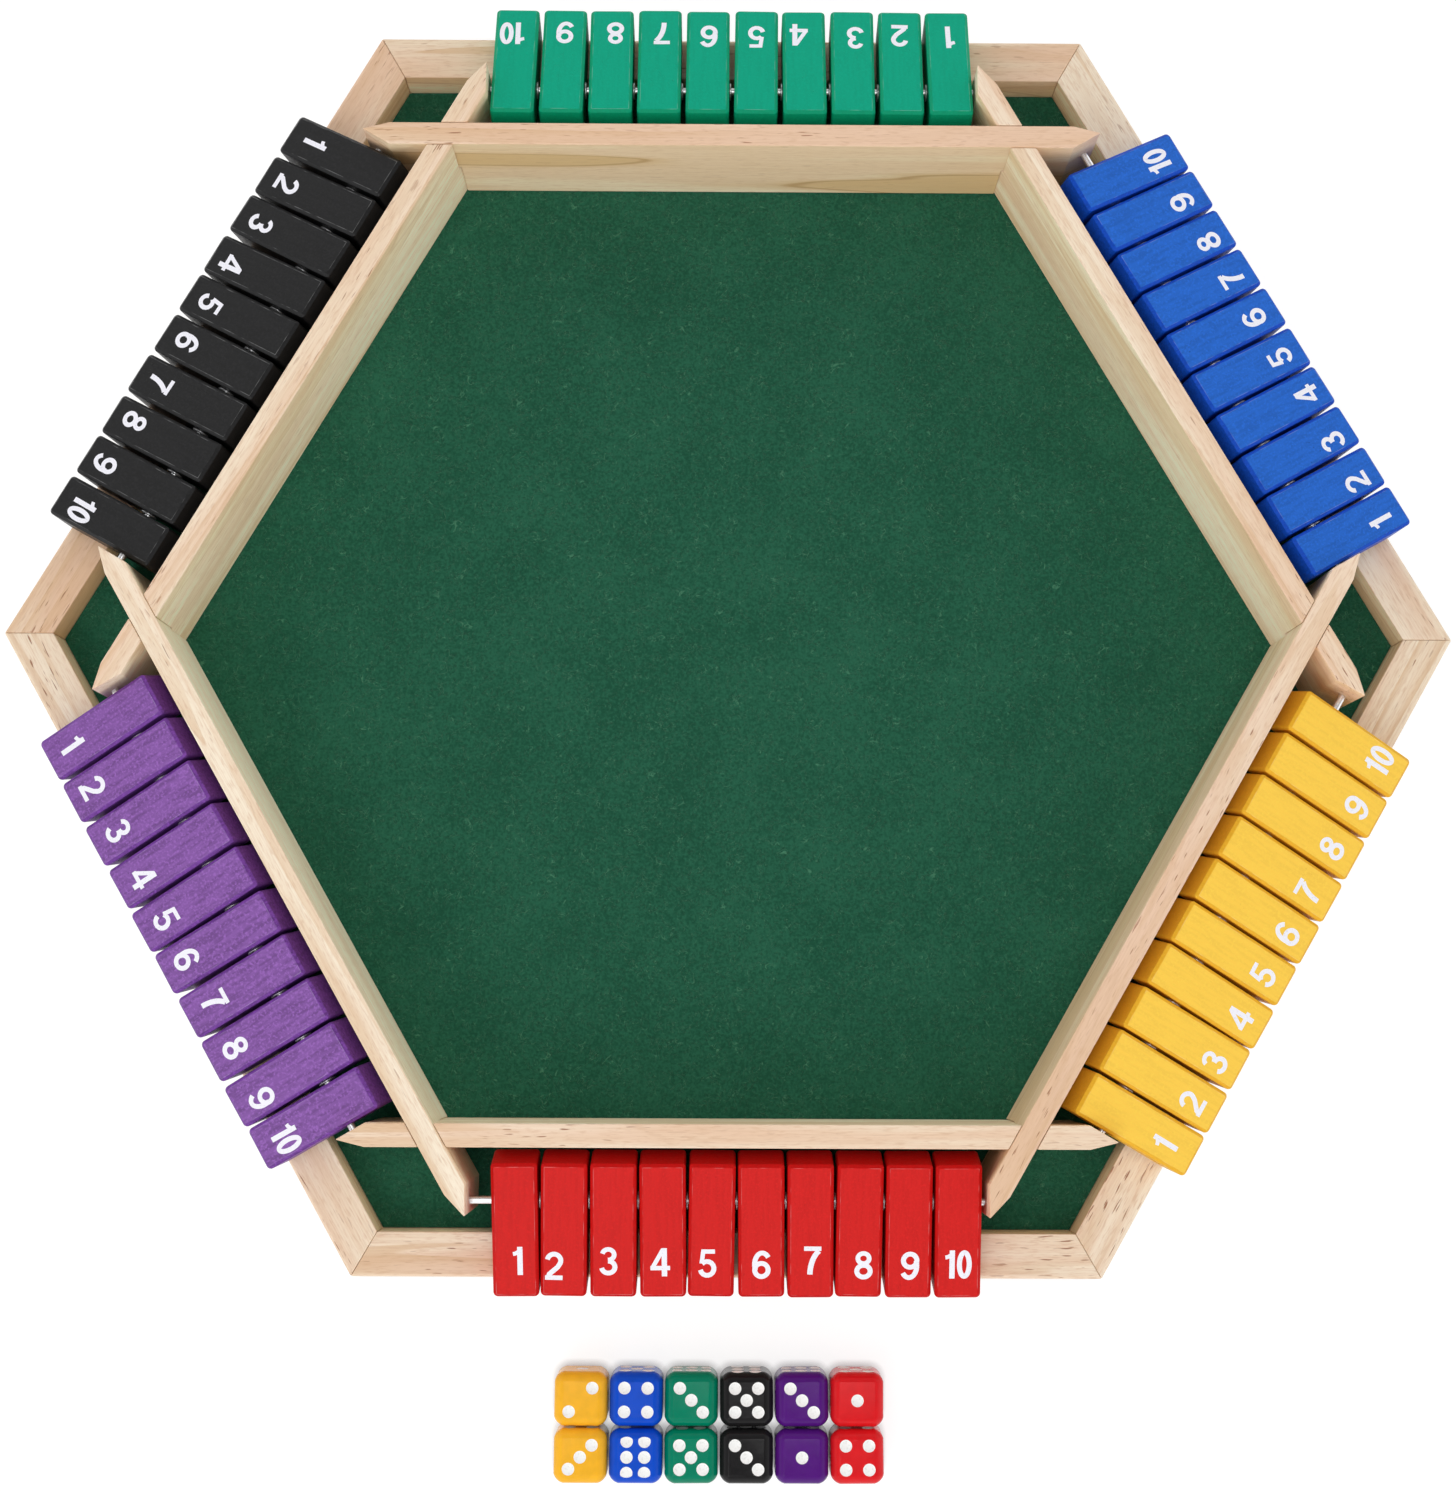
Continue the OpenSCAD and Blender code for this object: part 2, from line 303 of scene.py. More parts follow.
def boolean(operation, body, *tools):
    """The mesh that is left of body. Faces that a tool has cut get the second material."""
    objects = []
    for i, source in enumerate((body, *tools)):
        bmesh.ops.recalc_face_normals(source, faces=source.faces)
        for f in source.faces:
            f.material_index = min(i, 1)
        mesh = bpy.data.meshes.new("source")
        source.to_mesh(mesh)
        source.free()
        for name in ("kept", "cut"):
            mesh.materials.append(bpy.data.materials.get(name) or bpy.data.materials.new(name))
        objects.append(bpy.data.objects.new("source", mesh))
        bpy.context.scene.collection.objects.link(objects[-1])
    for tool in objects[1:]:
        modifier = objects[0].modifiers.new("boolean", "BOOLEAN")
        modifier.object, modifier.operation, modifier.solver = tool, operation, "EXACT"
    bpy.context.view_layer.update()
    result = objects[0].evaluated_get(bpy.context.evaluated_depsgraph_get()).to_mesh().copy()
    for made in objects:
        bpy.data.objects.remove(made)
    return result


# ---- Materials ----

# Sockets of a Mix node that mixes colours
MIX_FACTOR, MIX_A, MIX_B, MIX_RESULT = 0, 6, 7, 2


class Shader:
    """A material's node tree. An input is a number, a colour or another node's output."""

    def __init__(self, name):
        self.material = bpy.data.materials.new(name)
        self.material.use_nodes = True
        self.tree = self.material.node_tree
        self.tree.nodes.clear()

    def node(self, kind, inputs, **settings):
        made = self.tree.nodes.new("ShaderNode" + kind)
        for key, value in settings.items():
            setattr(made, key, value)
        for key, value in inputs.items():
            if isinstance(value, bpy.types.NodeSocket):
                self.tree.links.new(value, made.inputs[key])
            else:
                made.inputs[key].default_value = value
        return made

    def place(self):
        """Place on the object at rest."""
        return self.node("TexCoord", {}).outputs["Object"]

    def grain(self):
        """Place along the piece's own grain."""
        return self.node("Attribute", {}, attribute_name="grain").outputs["Vector"]

    def attribute(self, name):
        """One of the numbers that the piece's points carry."""
        return self.node("Attribute", {}, attribute_name=name).outputs["Fac"]

    def stretch(self, vector, scale, turn=(0, 0, 0)):
        """Turned by degrees and scaled along each axis, so that a noise gets a direction."""
        inputs = {"Vector": vector, "Scale": scale, "Rotation": [math.radians(a) for a in turn]}
        return self.node("Mapping", inputs).outputs[0]

    def noise(self, vector, scale, detail=2, distortion=0):
        inputs = {"Vector": vector, "Scale": scale, "Detail": detail, "Distortion": distortion}
        return self.node("TexNoise", inputs).outputs["Fac"]

    def band(self, value, low, high, to_low=0.0, to_high=1.0):
        """Runs smoothly from to_low to to_high as value goes from low to high."""
        inputs = {"Value": value, "From Min": low, "From Max": high,
                  "To Min": to_low, "To Max": to_high}
        return self.node("MapRange", inputs, interpolation_type="SMOOTHSTEP").outputs[0]

    def math(self, operation, a, b=0.0):
        return self.node("Math", {0: a, 1: b}, operation=operation).outputs[0]

    def mix(self, factor, a, b, mode="MIX"):
        inputs = {MIX_FACTOR: factor, MIX_A: a, MIX_B: b}
        made = self.node("Mix", inputs, data_type="RGBA", blend_type=mode)
        return made.outputs[MIX_RESULT]

    def bump(self, height, distance):
        return self.node("Bump", {"Height": height, "Distance": distance}).outputs[0]

    def finish(self, colour, roughness, normal=None, **constants):
        """The material with its surface. Constants are named as the sockets are, with _ for a space."""
        inputs = {"Base Color": colour, "Roughness": roughness}
        inputs.update({key.replace("_", " "): value for key, value in constants.items()})
        if normal:
            inputs["Normal"] = normal
        surface = self.node("BsdfPrincipled", inputs)
        self.tree.links.new(surface.outputs[0], self.node("OutputMaterial", {}).inputs[0])
        return self.material


def growth_rings(s, grain, tone):
    """Growth rings: each darkens slowly, ends sharply and is stronger in some places."""
    growth = s.noise(s.stretch(grain, (75, 3.2, 75), (2, 1, 0)), 1, 2, 0.4)
    saw = s.math("FRACT", s.math("MULTIPLY", growth, 9))
    ring = s.math("MULTIPLY", s.band(saw, 0.25, 0.95), s.band(saw, 1, 0.96))
    strength = s.band(s.noise(s.stretch(grain, (50, 4, 50)), 1), 0.38, 0.65, 0.05, 0.55)
    return s.mix(s.math("MULTIPLY", ring, strength), tone, WOOD_RING)


def heartwood(s, grain, inner, tone):
    """Golden bands with a brown line along them, mostly on the inner faces."""
    heart = s.noise(s.stretch(grain, (48, 5, 48), (0, 0, 3)), 1, 1.5, 0.3)
    shown = s.math("MULTIPLY", s.attribute("heart"), s.band(inner, 0, 1, 0.3, 1))
    golden = s.math("MULTIPLY", s.band(heart, 0.49, 0.56), shown)
    tone = s.mix(golden, tone, WOOD_HEART)
    rim = s.band(s.math("ABSOLUTE", s.math("SUBTRACT", heart, 0.54)), 0, 0.01, 1, 0)
    return s.mix(s.math("MULTIPLY", rim, shown), tone, WOOD_RIM)


def brown_dashes(s, grain, inner):
    """Short brown pores: in patches, and fainter on the inner faces."""
    dashes = s.noise(s.stretch(grain, (1700, 170, 1700)), 1, 1)
    where = s.band(s.noise(s.stretch(grain, (60, 16, 60)), 1), 0.4, 0.65, 0.15, 1)
    dash = s.math("MULTIPLY", s.band(dashes, 0.66, 0.73), where)
    return s.math("MULTIPLY", dash, s.band(inner, 0, 1, 0.85, 0.3))


def wood_material():
    """Pale, fine wood: growth rings, heartwood, hair-thin fibres, short brown pores, and painted light
    on the inner faces.
    """
    s = Shader("pine")
    grain, inner = s.grain(), s.attribute("inner")
    cloud = s.noise(s.stretch(grain, (110, 9, 110)), 1, 3)
    tint = s.math("ADD", s.attribute("tint"), s.band(cloud, 0.3, 0.7, -0.4, 0.4))
    tone = s.mix(s.band(tint, 0, 1), WOOD_YELLOWISH, WOOD_SALMON)
    tone = growth_rings(s, grain, tone)
    tone = heartwood(s, grain, inner, tone)
    fibre = s.noise(s.stretch(grain, (2600, 45, 2600)), 1, 3)
    tone = s.mix(s.band(fibre, 0.35, 0.7, 0, 0.25), tone, WOOD_FIBRE)
    fleck = s.noise(s.stretch(grain, (2400, 300, 2400)), 1, 2)
    tone = s.mix(s.band(fleck, 0.48, 0.72, 0, 0.4), tone, WOOD_FLECK)
    dash = brown_dashes(s, grain, inner)
    tone = s.mix(dash, tone, WOOD_DASH)
    # Painted light: the inner faces are painted paler and greener, as if lit by the felt's green bounce
    tone = s.mix(inner, tone, INNER_PAINTED_LIGHT, "MULTIPLY")
    height = s.math("SUBTRACT", s.math("MULTIPLY", fibre, 0.5), dash)
    rough = s.band(fibre, 0.3, 0.7, 0.5, 0.66)
    return s.finish(tone, rough, s.bump(height, 0.05 * MM), Specular_IOR_Level=0.3)


def felt_material():
    """Dense green felt: soft mottling, short pale fibres and thin curly ones."""
    s = Shader("felt")
    place = s.place()
    cloud = s.noise(place, 45, 3)
    mottle = s.noise(place, 1500, 3)
    depth = s.math("ADD", s.math("MULTIPLY", cloud, 0.35), mottle)
    tone = s.mix(s.band(depth, 0.5, 0.85), FELT_DEEP, FELT_MID)
    height = mottle
    for scale, width, amount in ((330, 0.018, 0.5), (620, 0.025, 0.4)):
        lines = s.math("ABSOLUTE", s.math("SUBTRACT", s.noise(place, scale, 1, 1.2), 0.5))
        line = s.band(lines, 0, width, 1, 0)
        shown = s.math("MULTIPLY", line, s.band(s.noise(place, scale * 0.6), 0.45, 0.6))
        tone = s.mix(s.math("MULTIPLY", shown, amount), tone, FELT_LIGHT)
        height = s.math("ADD", height, s.math("MULTIPLY", shown, 0.4))
    return s.finish(tone, 0.95, s.bump(height, 0.25 * MM), Specular_IOR_Level=0.08,
                    Sheen_Weight=0.08, Sheen_Roughness=0.5)


def worn_edges(s, grain, colour, tone):
    """Painted shade, deeper and richer, on the bevels, and painted highlights in places along their
    creases.
    """
    edge = s.attribute("edge")
    speck = s.band(s.noise(grain, 2600, 2), 0.6, 0.75, 1, 0.4)
    shade = [(c / max(colour[:3])) ** BEVEL_SHADE_RICHNESS * BEVEL_SHADE_DEPTH for c in colour[:3]]
    # Painted shade: the bevels are painted deeper and richer than the face
    tone = s.mix(s.math("MULTIPLY", edge, speck), tone, (*shade, 1), "MULTIPLY")
    # Painted highlight: pale lines in places along the creases between face and bevel
    crease = s.math("MULTIPLY", s.band(edge, 0.1, 0.45), s.band(edge, 0.98, 0.6))
    crease_glint = s.band(s.noise(grain, 260, 3), 0.42, 0.68, 0, 0.16)
    return s.mix(s.math("MULTIPLY", crease, crease_glint), tone, (1, 1, 1, 1))


def paint_material(name, colour, deep_by, light_by, pitted, gloss):
    """Satin paint on wood: faint grain, a few small pits, painted shade on the bevels and painted
    highlights along their creases.
    """
    s = Shader(name)
    grain = s.grain()
    streak = s.noise(s.stretch(grain, (120, 1000, 1000)), 1, 3)
    mottle = s.noise(grain, 1500, 3)
    tone = s.mix(s.band(streak, 0.38, 0.66), colour, scaled(colour, deep_by))
    tone = s.mix(s.band(mottle, 0.45, 0.72), tone, scaled(colour, light_by))
    patch = s.band(s.noise(grain, 45, 1), 0.5, 0.72, 0.1, 1)
    pits = s.band(s.noise(s.stretch(grain, (900, 1900, 1900)), 1, 2), 0.66, 0.74)
    pits = s.math("MULTIPLY", pits, patch)
    tone = s.mix(s.math("MULTIPLY", pits, pitted), tone, scaled(colour, 0.3))
    tone = worn_edges(s, grain, colour, tone)
    height = s.math("SUBTRACT", s.math("ADD", streak, s.math("MULTIPLY", mottle, 0.5)), pits)
    rough = s.band(mottle, 0.3, 0.7, 0.36, 0.48)
    return s.finish(tone, rough, s.bump(height, 0.05 * MM), Specular_IOR_Level=gloss)


def number_material():
    """Screen-printed white, slightly uneven."""
    s = Shader("number_white")
    speck = s.noise(s.grain(), 2200, 2)
    tone = s.mix(s.band(speck, 0.55, 0.75), srgb(245, 244, 252), srgb(226, 225, 237))
    return s.finish(tone, 0.5, s.bump(speck, 0.02 * MM))


def steel_material(name, metallic):
    """Bright steel with fine turning marks. Tumbled plating is less of a mirror."""
    s = Shader(name)
    marks = s.noise(s.stretch(s.grain(), (900, 9000, 900)), 1, 2)
    tone = s.mix(marks, srgb(222, 222, 224), srgb(244, 244, 245))
    rough = s.band(marks, 0.3, 0.7, 0.25, 0.4)
    return s.finish(tone, rough, s.bump(marks, 0.004 * MM), Metallic=metallic)


def dice_material(name, colour):
    """Glossy moulded plastic with the faint waviness of tumbling."""
    s = Shader(name)
    wave = s.noise(s.grain(), 350, 2)
    haze = s.noise(s.grain(), 2500, 2)
    tone = s.mix(s.band(wave, 0.35, 0.7), colour, scaled(colour, 0.93))
    rough = s.band(haze, 0.35, 0.75, 0.14, 0.24)
    return s.finish(tone, rough, s.bump(wave, 0.03 * MM), Specular_IOR_Level=0.13)


def pip_material():
    """White lacquer in the dimples of the dice."""
    s = Shader("pip_white")
    speck = s.noise(s.grain(), 1800, 2)
    tone = s.mix(s.band(speck, 0.5, 0.75), srgb(250, 250, 248), srgb(232, 232, 228))
    return s.finish(tone, 0.35)


def board_material():
    """Birch plywood: broad pale figure and fine pores on its face."""
    s = Shader("board")
    place = s.place()
    figure = s.noise(s.stretch(place, (14, 90, 90)), 1, 4, 1.5)
    fibre = s.noise(s.stretch(place, (60, 2200, 2200)), 1, 3)
    tone = s.mix(s.band(figure, 0.35, 0.65), srgb(226, 200, 162), srgb(203, 170, 128))
    tone = s.mix(s.band(fibre, 0.45, 0.75, 0, 0.4), tone, srgb(170, 132, 92))
    return s.finish(tone, s.band(fibre, 0.3, 0.7, 0.55, 0.72), s.bump(fibre, 0.04 * MM))


# ---- Camera, light and floor ----

def add_camera():
    """The camera of the photograph."""
    data = bpy.data.cameras.new("camera")
    data.lens = CAMERA_LENS
    data.clip_start, data.clip_end = CAMERA_REACH
    camera = bpy.data.objects.new("camera", data)
    camera.location = CAMERA_PLACE
    camera.rotation_euler = [math.radians(a) for a in CAMERA_TURN]
    bpy.context.scene.collection.objects.link(camera)
    bpy.context.scene.camera = camera


def add_lamp(name, place, size, power):
    """Soft square lamp that faces the middle of the board."""
    data = bpy.data.lights.new(name, "AREA")
    data.size, data.energy = size, power
    lamp = bpy.data.objects.new(name, data)
    lamp.location = place
    lamp.rotation_euler = (-Vector(place)).to_track_quat("-Z", "Y").to_euler()
    bpy.context.scene.collection.objects.link(lamp)


def add_world():
    """White light tent, with its brightness running from the horizon to the top."""
    world = bpy.data.worlds.new("studio")
    bpy.context.scene.world = world
    world.use_nodes = True
    nodes, links = world.node_tree.nodes, world.node_tree.links
    background = nodes["Background"]
    background.inputs["Color"].default_value = (1, 1, 1, 1)
    place = nodes.new("ShaderNodeTexCoord")
    split = nodes.new("ShaderNodeSeparateXYZ")
    height = nodes.new("ShaderNodeMapRange")
    height.inputs["To Min"].default_value, height.inputs["To Max"].default_value = WORLD_LIGHT
    links.new(place.outputs["Generated"], split.inputs[0])
    links.new(split.outputs["Z"], height.inputs["Value"])
    links.new(height.outputs[0], background.inputs["Strength"])


def floor_material():
    """Pale floor that the camera and reflections see as white, apart from the shadow on it and a
    painted contact shade near the pieces.
    """
    s = Shader("floor")
    rays = s.node("LightPath", {})
    seen = s.math("MAXIMUM", rays.outputs["Is Camera Ray"], rays.outputs["Is Glossy Ray"])
    seen = s.math("MAXIMUM", seen, rays.outputs["Is Transmission Ray"])
    # Painted contact shade: the glow fades close to the pieces
    open_sky = s.node("AmbientOcclusion", {"Distance": FLOOR_CONTACT}, samples=8).outputs["AO"]
    strength = s.math("MULTIPLY", s.math("MULTIPLY", seen, FLOOR_GLOW), open_sky)
    glow = s.node("Emission", {"Strength": strength})
    plain = (FLOOR_COLOUR, FLOOR_COLOUR, FLOOR_COLOUR, 1)
    pale = (FLOOR_SEEN, FLOOR_SEEN, FLOOR_SEEN, 1)
    surface = s.node("BsdfDiffuse", {"Color": s.mix(seen, plain, pale)})
    both = s.node("AddShader", {0: glow.outputs[0], 1: surface.outputs[0]})
    s.tree.links.new(both.outputs[0], s.node("OutputMaterial", {}).inputs[0])
    return s.material


def add_floor():
    """The table top that the game stands on."""
    bm = bmesh.new()
    bmesh.ops.create_grid(bm, x_segments=8, y_segments=8, size=FLOOR_HALF)
    mesh = bpy.data.meshes.new("floor")
    bm.to_mesh(mesh)
    bm.free()
    mesh.materials.append(floor_material())
    floor = bpy.data.objects.new("floor", mesh)
    bpy.context.scene.collection.objects.link(floor)


# ---- Frame, walls and felt ----

def shift(seed):
    """Seeded offset that gives a piece its own stretch of the procedural grain."""
    draw = random.Random(seed)
    return Vector([draw.uniform(-1, 1) for _ in range(3)])


def add_sides(name, node, width, tints, hearts, material):
    """Six pieces of wood, one on each side of the hexagon, with their grain along the side."""
    bm = cad_copy(node)
    ease_edges(bm, width)
    grain = bm.verts.layers.float_vector.new("grain")
    tint = bm.verts.layers.float.new("tint")
    heart = bm.verts.layers.float.new("heart")
    inner = bm.verts.layers.float.new("inner")
    for k, group in islands(bm).items():
        back, offset = side_matrix(k).inverted(), shift(f"{name}{k}")
        nearest = min((back @ v.co).x for v in group)
        for v in group:
            place = back @ v.co
            v[grain] = place + offset
            v[tint], v[heart] = tints[k], hearts[k]
            v[inner] = place.x < nearest + INNER_FACE
    dress(make_object(name, bm, [material]), "board", node)


def felt_sheet(corner, low, high):
    """Hexagonal slab between two heights, with its slightly uneven upper face divided finely."""
    bm = bmesh.new()
    middle = bm.verts.new((0, 0, high))
    turns = [math.radians(a) for a in range(0, 360, 60)]
    rim = [bm.verts.new((corner * math.cos(a), corner * math.sin(a), high)) for a in turns]
    for i in range(6):
        bm.faces.new((middle, rim[i], rim[(i + 1) % 6]))
    bmesh.ops.subdivide_edges(bm, edges=bm.edges, cuts=FELT_CUTS, use_grid_fill=True)
    for v in bm.verts:
        v.co.z -= FELT_NAP * (0.5 + 0.5 * noise.noise(v.co * FELT_LUMPS))
    made = bmesh.ops.extrude_edge_only(bm, edges=[e for e in bm.edges if e.is_boundary])
    for v in made["geom"]:
        if isinstance(v, bmesh.types.BMVert):
            v.co.z = low
    bmesh.ops.contextual_create(bm, geom=[e for e in bm.edges if e.is_boundary])
    return bm


def add_felt(material):
    """The felt lining, cut from a flat sheet and laid on the board."""
    low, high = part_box("felt_lining")
    across = 2 * high.y
    corner = across / math.sqrt(3)
    felt = make_object("felt", felt_sheet(corner, low.z, high.z), [material])
    dress(felt, "board", "felt_lining")


# ---- Flaps ----

def flap_side(name):
    """Which side of the hexagon a flap's node is on, and the numbers of its flaps."""
    words = name.split("_")
    return COLOURS.index(words[1]), [int(w) for w in words[2:]]


def flap_tilt(name):
    """How far the numbered face leans outward, from the node's largest upward face."""
    faces = [f for f in frame["nodes"][name].data.polygons if f.normal.z > 0.5]
    normal = max(faces, key=lambda f: f.area).normal
    return math.atan2(math.hypot(normal.x, normal.y), normal.z)


def hinge_frame(joint):
    """The frame of a hinge's flaps at the middle of the rod, and their box in it."""
    name = joint["child"]
    side = side_matrix(flap_side(name)[0])
    axis = side.inverted() @ Vector(joint["pos_m"])
    tilt = Matrix.Rotation(flap_tilt(name), 4, "Y")
    hinge = side @ Matrix.Translation((axis.x, 0, axis.z)) @ tilt
    back = hinge.inverted()
    points = [back @ v.co for v in frame["nodes"][name].data.vertices]
    low, high = ([pick(p[i] for p in points) for i in range(3)] for pick in (min, max))
    return hinge, low, high


def flap_frames(joint, width):
    """Each flap on a hinge, as (number, its frame, its reach outward and upward)."""
    hinge, low, high = hinge_frame(joint)
    numbers = flap_side(joint["child"])[1]
    ends = (low[1] + width / 2, high[1] - width / 2)
    return [(number, hinge @ Matrix.Translation((0, y, 0)), high[0], high[2])
            for number, y in zip(numbers, ends)]


def outline(low, high, half, inset):
    """The flap's outline on its face, inset from its sides, as points of a rounded rectangle."""
    points = []
    corners = ((high, half, FLAP_ROUND, 0), (low, half, FLAP_INNER_ROUND, 90),
               (low, -half, FLAP_INNER_ROUND, 180), (high, -half, FLAP_ROUND, 270))
    for x, y, radius, start in corners:
        cx = x - math.copysign(radius, x)
        cy = y - math.copysign(radius, y)
        reach = radius - inset
        for step in range(CORNER_STEPS + 1):
            a = math.radians(start + 90 * step / CORNER_STEPS)
            points.append((cx + reach * math.cos(a), cy + reach * math.sin(a)))
    return points


def flap_template(low, high, width, top):
    """A flap with rounded edges and its bore, about the rod's axis."""
    bm, cutter = bmesh.new(), bmesh.new()
    rings = [(inset, top - drop) for inset, drop in FLAP_CHAMFER]
    rings += [(inset, -z) for inset, z in reversed(rings)]
    loft(bm, [[(x, y, z) for x, y in outline(low, high, width / 2, inset)] for inset, z in rings])
    loft(cutter, [circle(BORE_RADIUS, y) for y in (-width, width)])
    return boolean("DIFFERENCE", bm, cutter)


# ---- Numbers ----

def arc(cx, cy, rx, ry, start, end, count=14):
    """Points on an ellipse, from start to end in degrees."""
    return [
        (cx + rx * math.cos(math.radians(start + (end - start) * i / count)),
         cy + ry * math.sin(math.radians(start + (end - start) * i / count)))
        for i in range(count + 1)
    ]


# Widths of upright, level and round strokes, for digits that are one unit tall
STEM = 0.18
BAR = 0.155
BOWL = 0.168
# Centre lines of each digit's strokes: (points, width, closed)
DIGITS = {
    "0": [(arc(0.25, 0.5, 0.165, 0.424, 0, 360, 36)[:-1], BOWL, True)],
    "1": [([(0.26, 0), (0.26, 1)], STEM, False),
          (arc(0.02, 1.02, 0.27, 0.27, -88, -20, 6), BAR - 0.015, False)],
    "2": [(arc(0.315, 0.69, 0.225, 0.228, 172, -25)
           + [(0.44, 0.46), (0.3, 0.33), (0.16, 0.2), (0.125, 0.08)], BOWL, False),
          ([(0.02, 0.08), (0.61, 0.08)], BAR + 0.005, False)],
    "3": [(arc(0.295, 0.735, 0.2, 0.19, 170, -92), BOWL - 0.008, False),
          (arc(0.3, 0.295, 0.225, 0.215, 92, -170), BOWL, False)],
    "4": [([(0.47, 0), (0.47, 1)], STEM, False),
          ([(0, 0.295), (0.66, 0.295)], BAR, False),
          ([(0.43, 0.955), (0.075, 0.32)], BAR - 0.01, False)],
    "5": [([(0.13, 0.925), (0.57, 0.925)], BAR - 0.005, False),
          ([(0.185, 0.99), (0.12, 0.5)], BAR - 0.01, False),
          (arc(0.305, 0.325, 0.23, 0.248, 137, -168), BOWL, False)],
    "6": [(arc(0.31, 0.318, 0.225, 0.235, 0, 360, 32)[:-1], BOWL, True),
          (arc(0.345, 0.5, 0.26, 0.423, 38, 205), BOWL, False)],
    "7": [([(0.02, 0.922), (0.6, 0.922)], BAR, False),
          (arc(0.78, 0.02, 0.55, 0.93, 118, 181, 10), STEM, False)],
    "8": [(arc(0.31, 0.742, 0.19, 0.18, 0, 360, 32)[:-1], BOWL - 0.01, True),
          (arc(0.31, 0.29, 0.225, 0.21, 0, 360, 32)[:-1], BOWL, True)],
    "9": [(arc(0.31, 0.682, 0.225, 0.235, 0, 360, 32)[:-1], BOWL, True),
          (arc(0.275, 0.5, 0.26, 0.423, 25, -142), BOWL, False)],
}
# How far the digits of 10 stand apart, from one's left edge to the next one's
TEN_STEP = 0.42


def stroke(points, width, closed):
    """Cross-sections of a flat stroke along its centre line."""
    rings, last = [], len(points) - 1
    for i, (x, y) in enumerate(points):
        before = points[i - 1] if i or closed else points[i]
        after = points[(i + 1) % len(points)] if i < last or closed else points[i]
        along = Vector((after[0] - before[0], after[1] - before[1])).normalized()
        out = Vector((-along.y, along.x)) * width / 2
        rings.append([
            (x + side * out.x, y + side * out.y, z)
            for side, z in ((1, 0), (1, 1), (-1, 1), (-1, 0))
        ])
    return rings


def number_mesh(number):
    """A number as a closed solid, one unit tall and one thick, with its middle at the origin."""
    bm = bmesh.new()
    for i, digit in enumerate(str(number)):
        strokes = []
        for points, width, closed in DIGITS[digit]:
            strokes.append(bmesh.new())
            loft(strokes[-1], stroke(points, width, closed), closed)
        mesh = boolean("UNION", *strokes)
        mesh.transform(Matrix.Translation((i * TEN_STEP, 0, 0)))
        bm.from_mesh(mesh)
    xs = [v.co.x for v in bm.verts]
    bmesh.ops.translate(bm, verts=bm.verts, vec=(-(min(xs) + max(xs)) / 2, -0.5, 0))
    mesh = bpy.data.meshes.new("number")
    bm.to_mesh(mesh)
    bm.free()
    return mesh


def number_matrix(colour, number, high, top):
    """Places a number on the flap's face, its foot towards the outer end."""
    from_end, across = PRINTED[colour][number - 1]
    turn = math.radians(90) + random.Random(f"{colour}{number}").uniform(-1, 1) * NUMBER_TURN
    size = (NUMBER_TALL, NUMBER_TALL, NUMBER_SUNK + NUMBER_PROUD, 1)
    place = Matrix.Translation((high - from_end * MM, across * MM, top - NUMBER_SUNK))
    return place @ Matrix.Rotation(turn, 4, "Z") @ Matrix.Diagonal(size)


def add_part(bm, mesh, matrix, material_index):
    """Adds a mesh to bm and returns its new vertices."""
    verts, faces = len(bm.verts), len(bm.faces)
    bm.from_mesh(mesh)
    bm.verts.ensure_lookup_table()
    bm.faces.ensure_lookup_table()
    for f in bm.faces[faces:]:
        f.material_index = material_index
    for v in bm.verts[verts:]:
        v.co = matrix @ v.co
    return bm.verts[verts:]


def add_flap(joint, width, template, numbers, material, white):
    """The flap or pair of flaps on one hinge, each a little skew and short in its own way."""
    name = joint["child"]
    colour = COLOURS[flap_side(name)[0]]
    bm = bmesh.new()
    grain = bm.verts.layers.float_vector.new("grain")
    edge = bm.verts.layers.float.new("edge")
    for number, place, high, top in flap_frames(joint, width):
        draw = random.Random(f"{name}{number}")
        offset = shift(f"grain{name}{number}")
        shorter = draw.uniform(FLAP_LONGEST, FLAP_SHORTEST)
        yaw = Matrix.Rotation(draw.uniform(-FLAP_YAW, FLAP_YAW), 4, "Z")
        block = add_part(bm, template, Matrix.Identity(4), 0)
        for v in block:
            v[edge] = min(1, (top - abs(v.co.z)) / EDGE_WIDE)
            if v.co.x > high / 2:
                v.co.x -= shorter
        printed = number_matrix(colour, number, high, top)
        for v in [*block, *add_part(bm, numbers[number], printed, 1)]:
            v[grain] = v.co + offset
            v.co = place @ yaw @ v.co
    piece = make_object(f"painted_{name}", bm, [material, white])
    dress(piece, name, name)


# ---- Rods and washers ----

def lathe(bm, rings, closed, place, offset):
    """Adds a round solid from rings of (radius, place along the rod)."""
    start = len(bm.verts)
    loft(bm, [circle(radius, y) for radius, y in rings], closed)
    bm.verts.ensure_lookup_table()
    grain = bm.verts.layers.float_vector["grain"]
    for v in bm.verts[start:]:
        v[grain] = v.co + offset
        v.co = place @ v.co


def rod_rings(low, high):
    """A rod with eased ends."""
    eased = ROD_RADIUS - ROD_EASE
    return [(eased, low), (ROD_RADIUS, low + ROD_EASE),
            (ROD_RADIUS, high - ROD_EASE), (eased, high)]


def washer_rings():
    """A washer with eased outer edges, round its hole."""
    half, eased = WASHER_THICK / 2, WASHER_RADIUS - WASHER_EASE
    return [
        (WASHER_HOLE, -half), (eased, -half), (WASHER_RADIUS, WASHER_EASE - half),
        (WASHER_RADIUS, half - WASHER_EASE), (eased, half), (WASHER_HOLE, half),
    ]


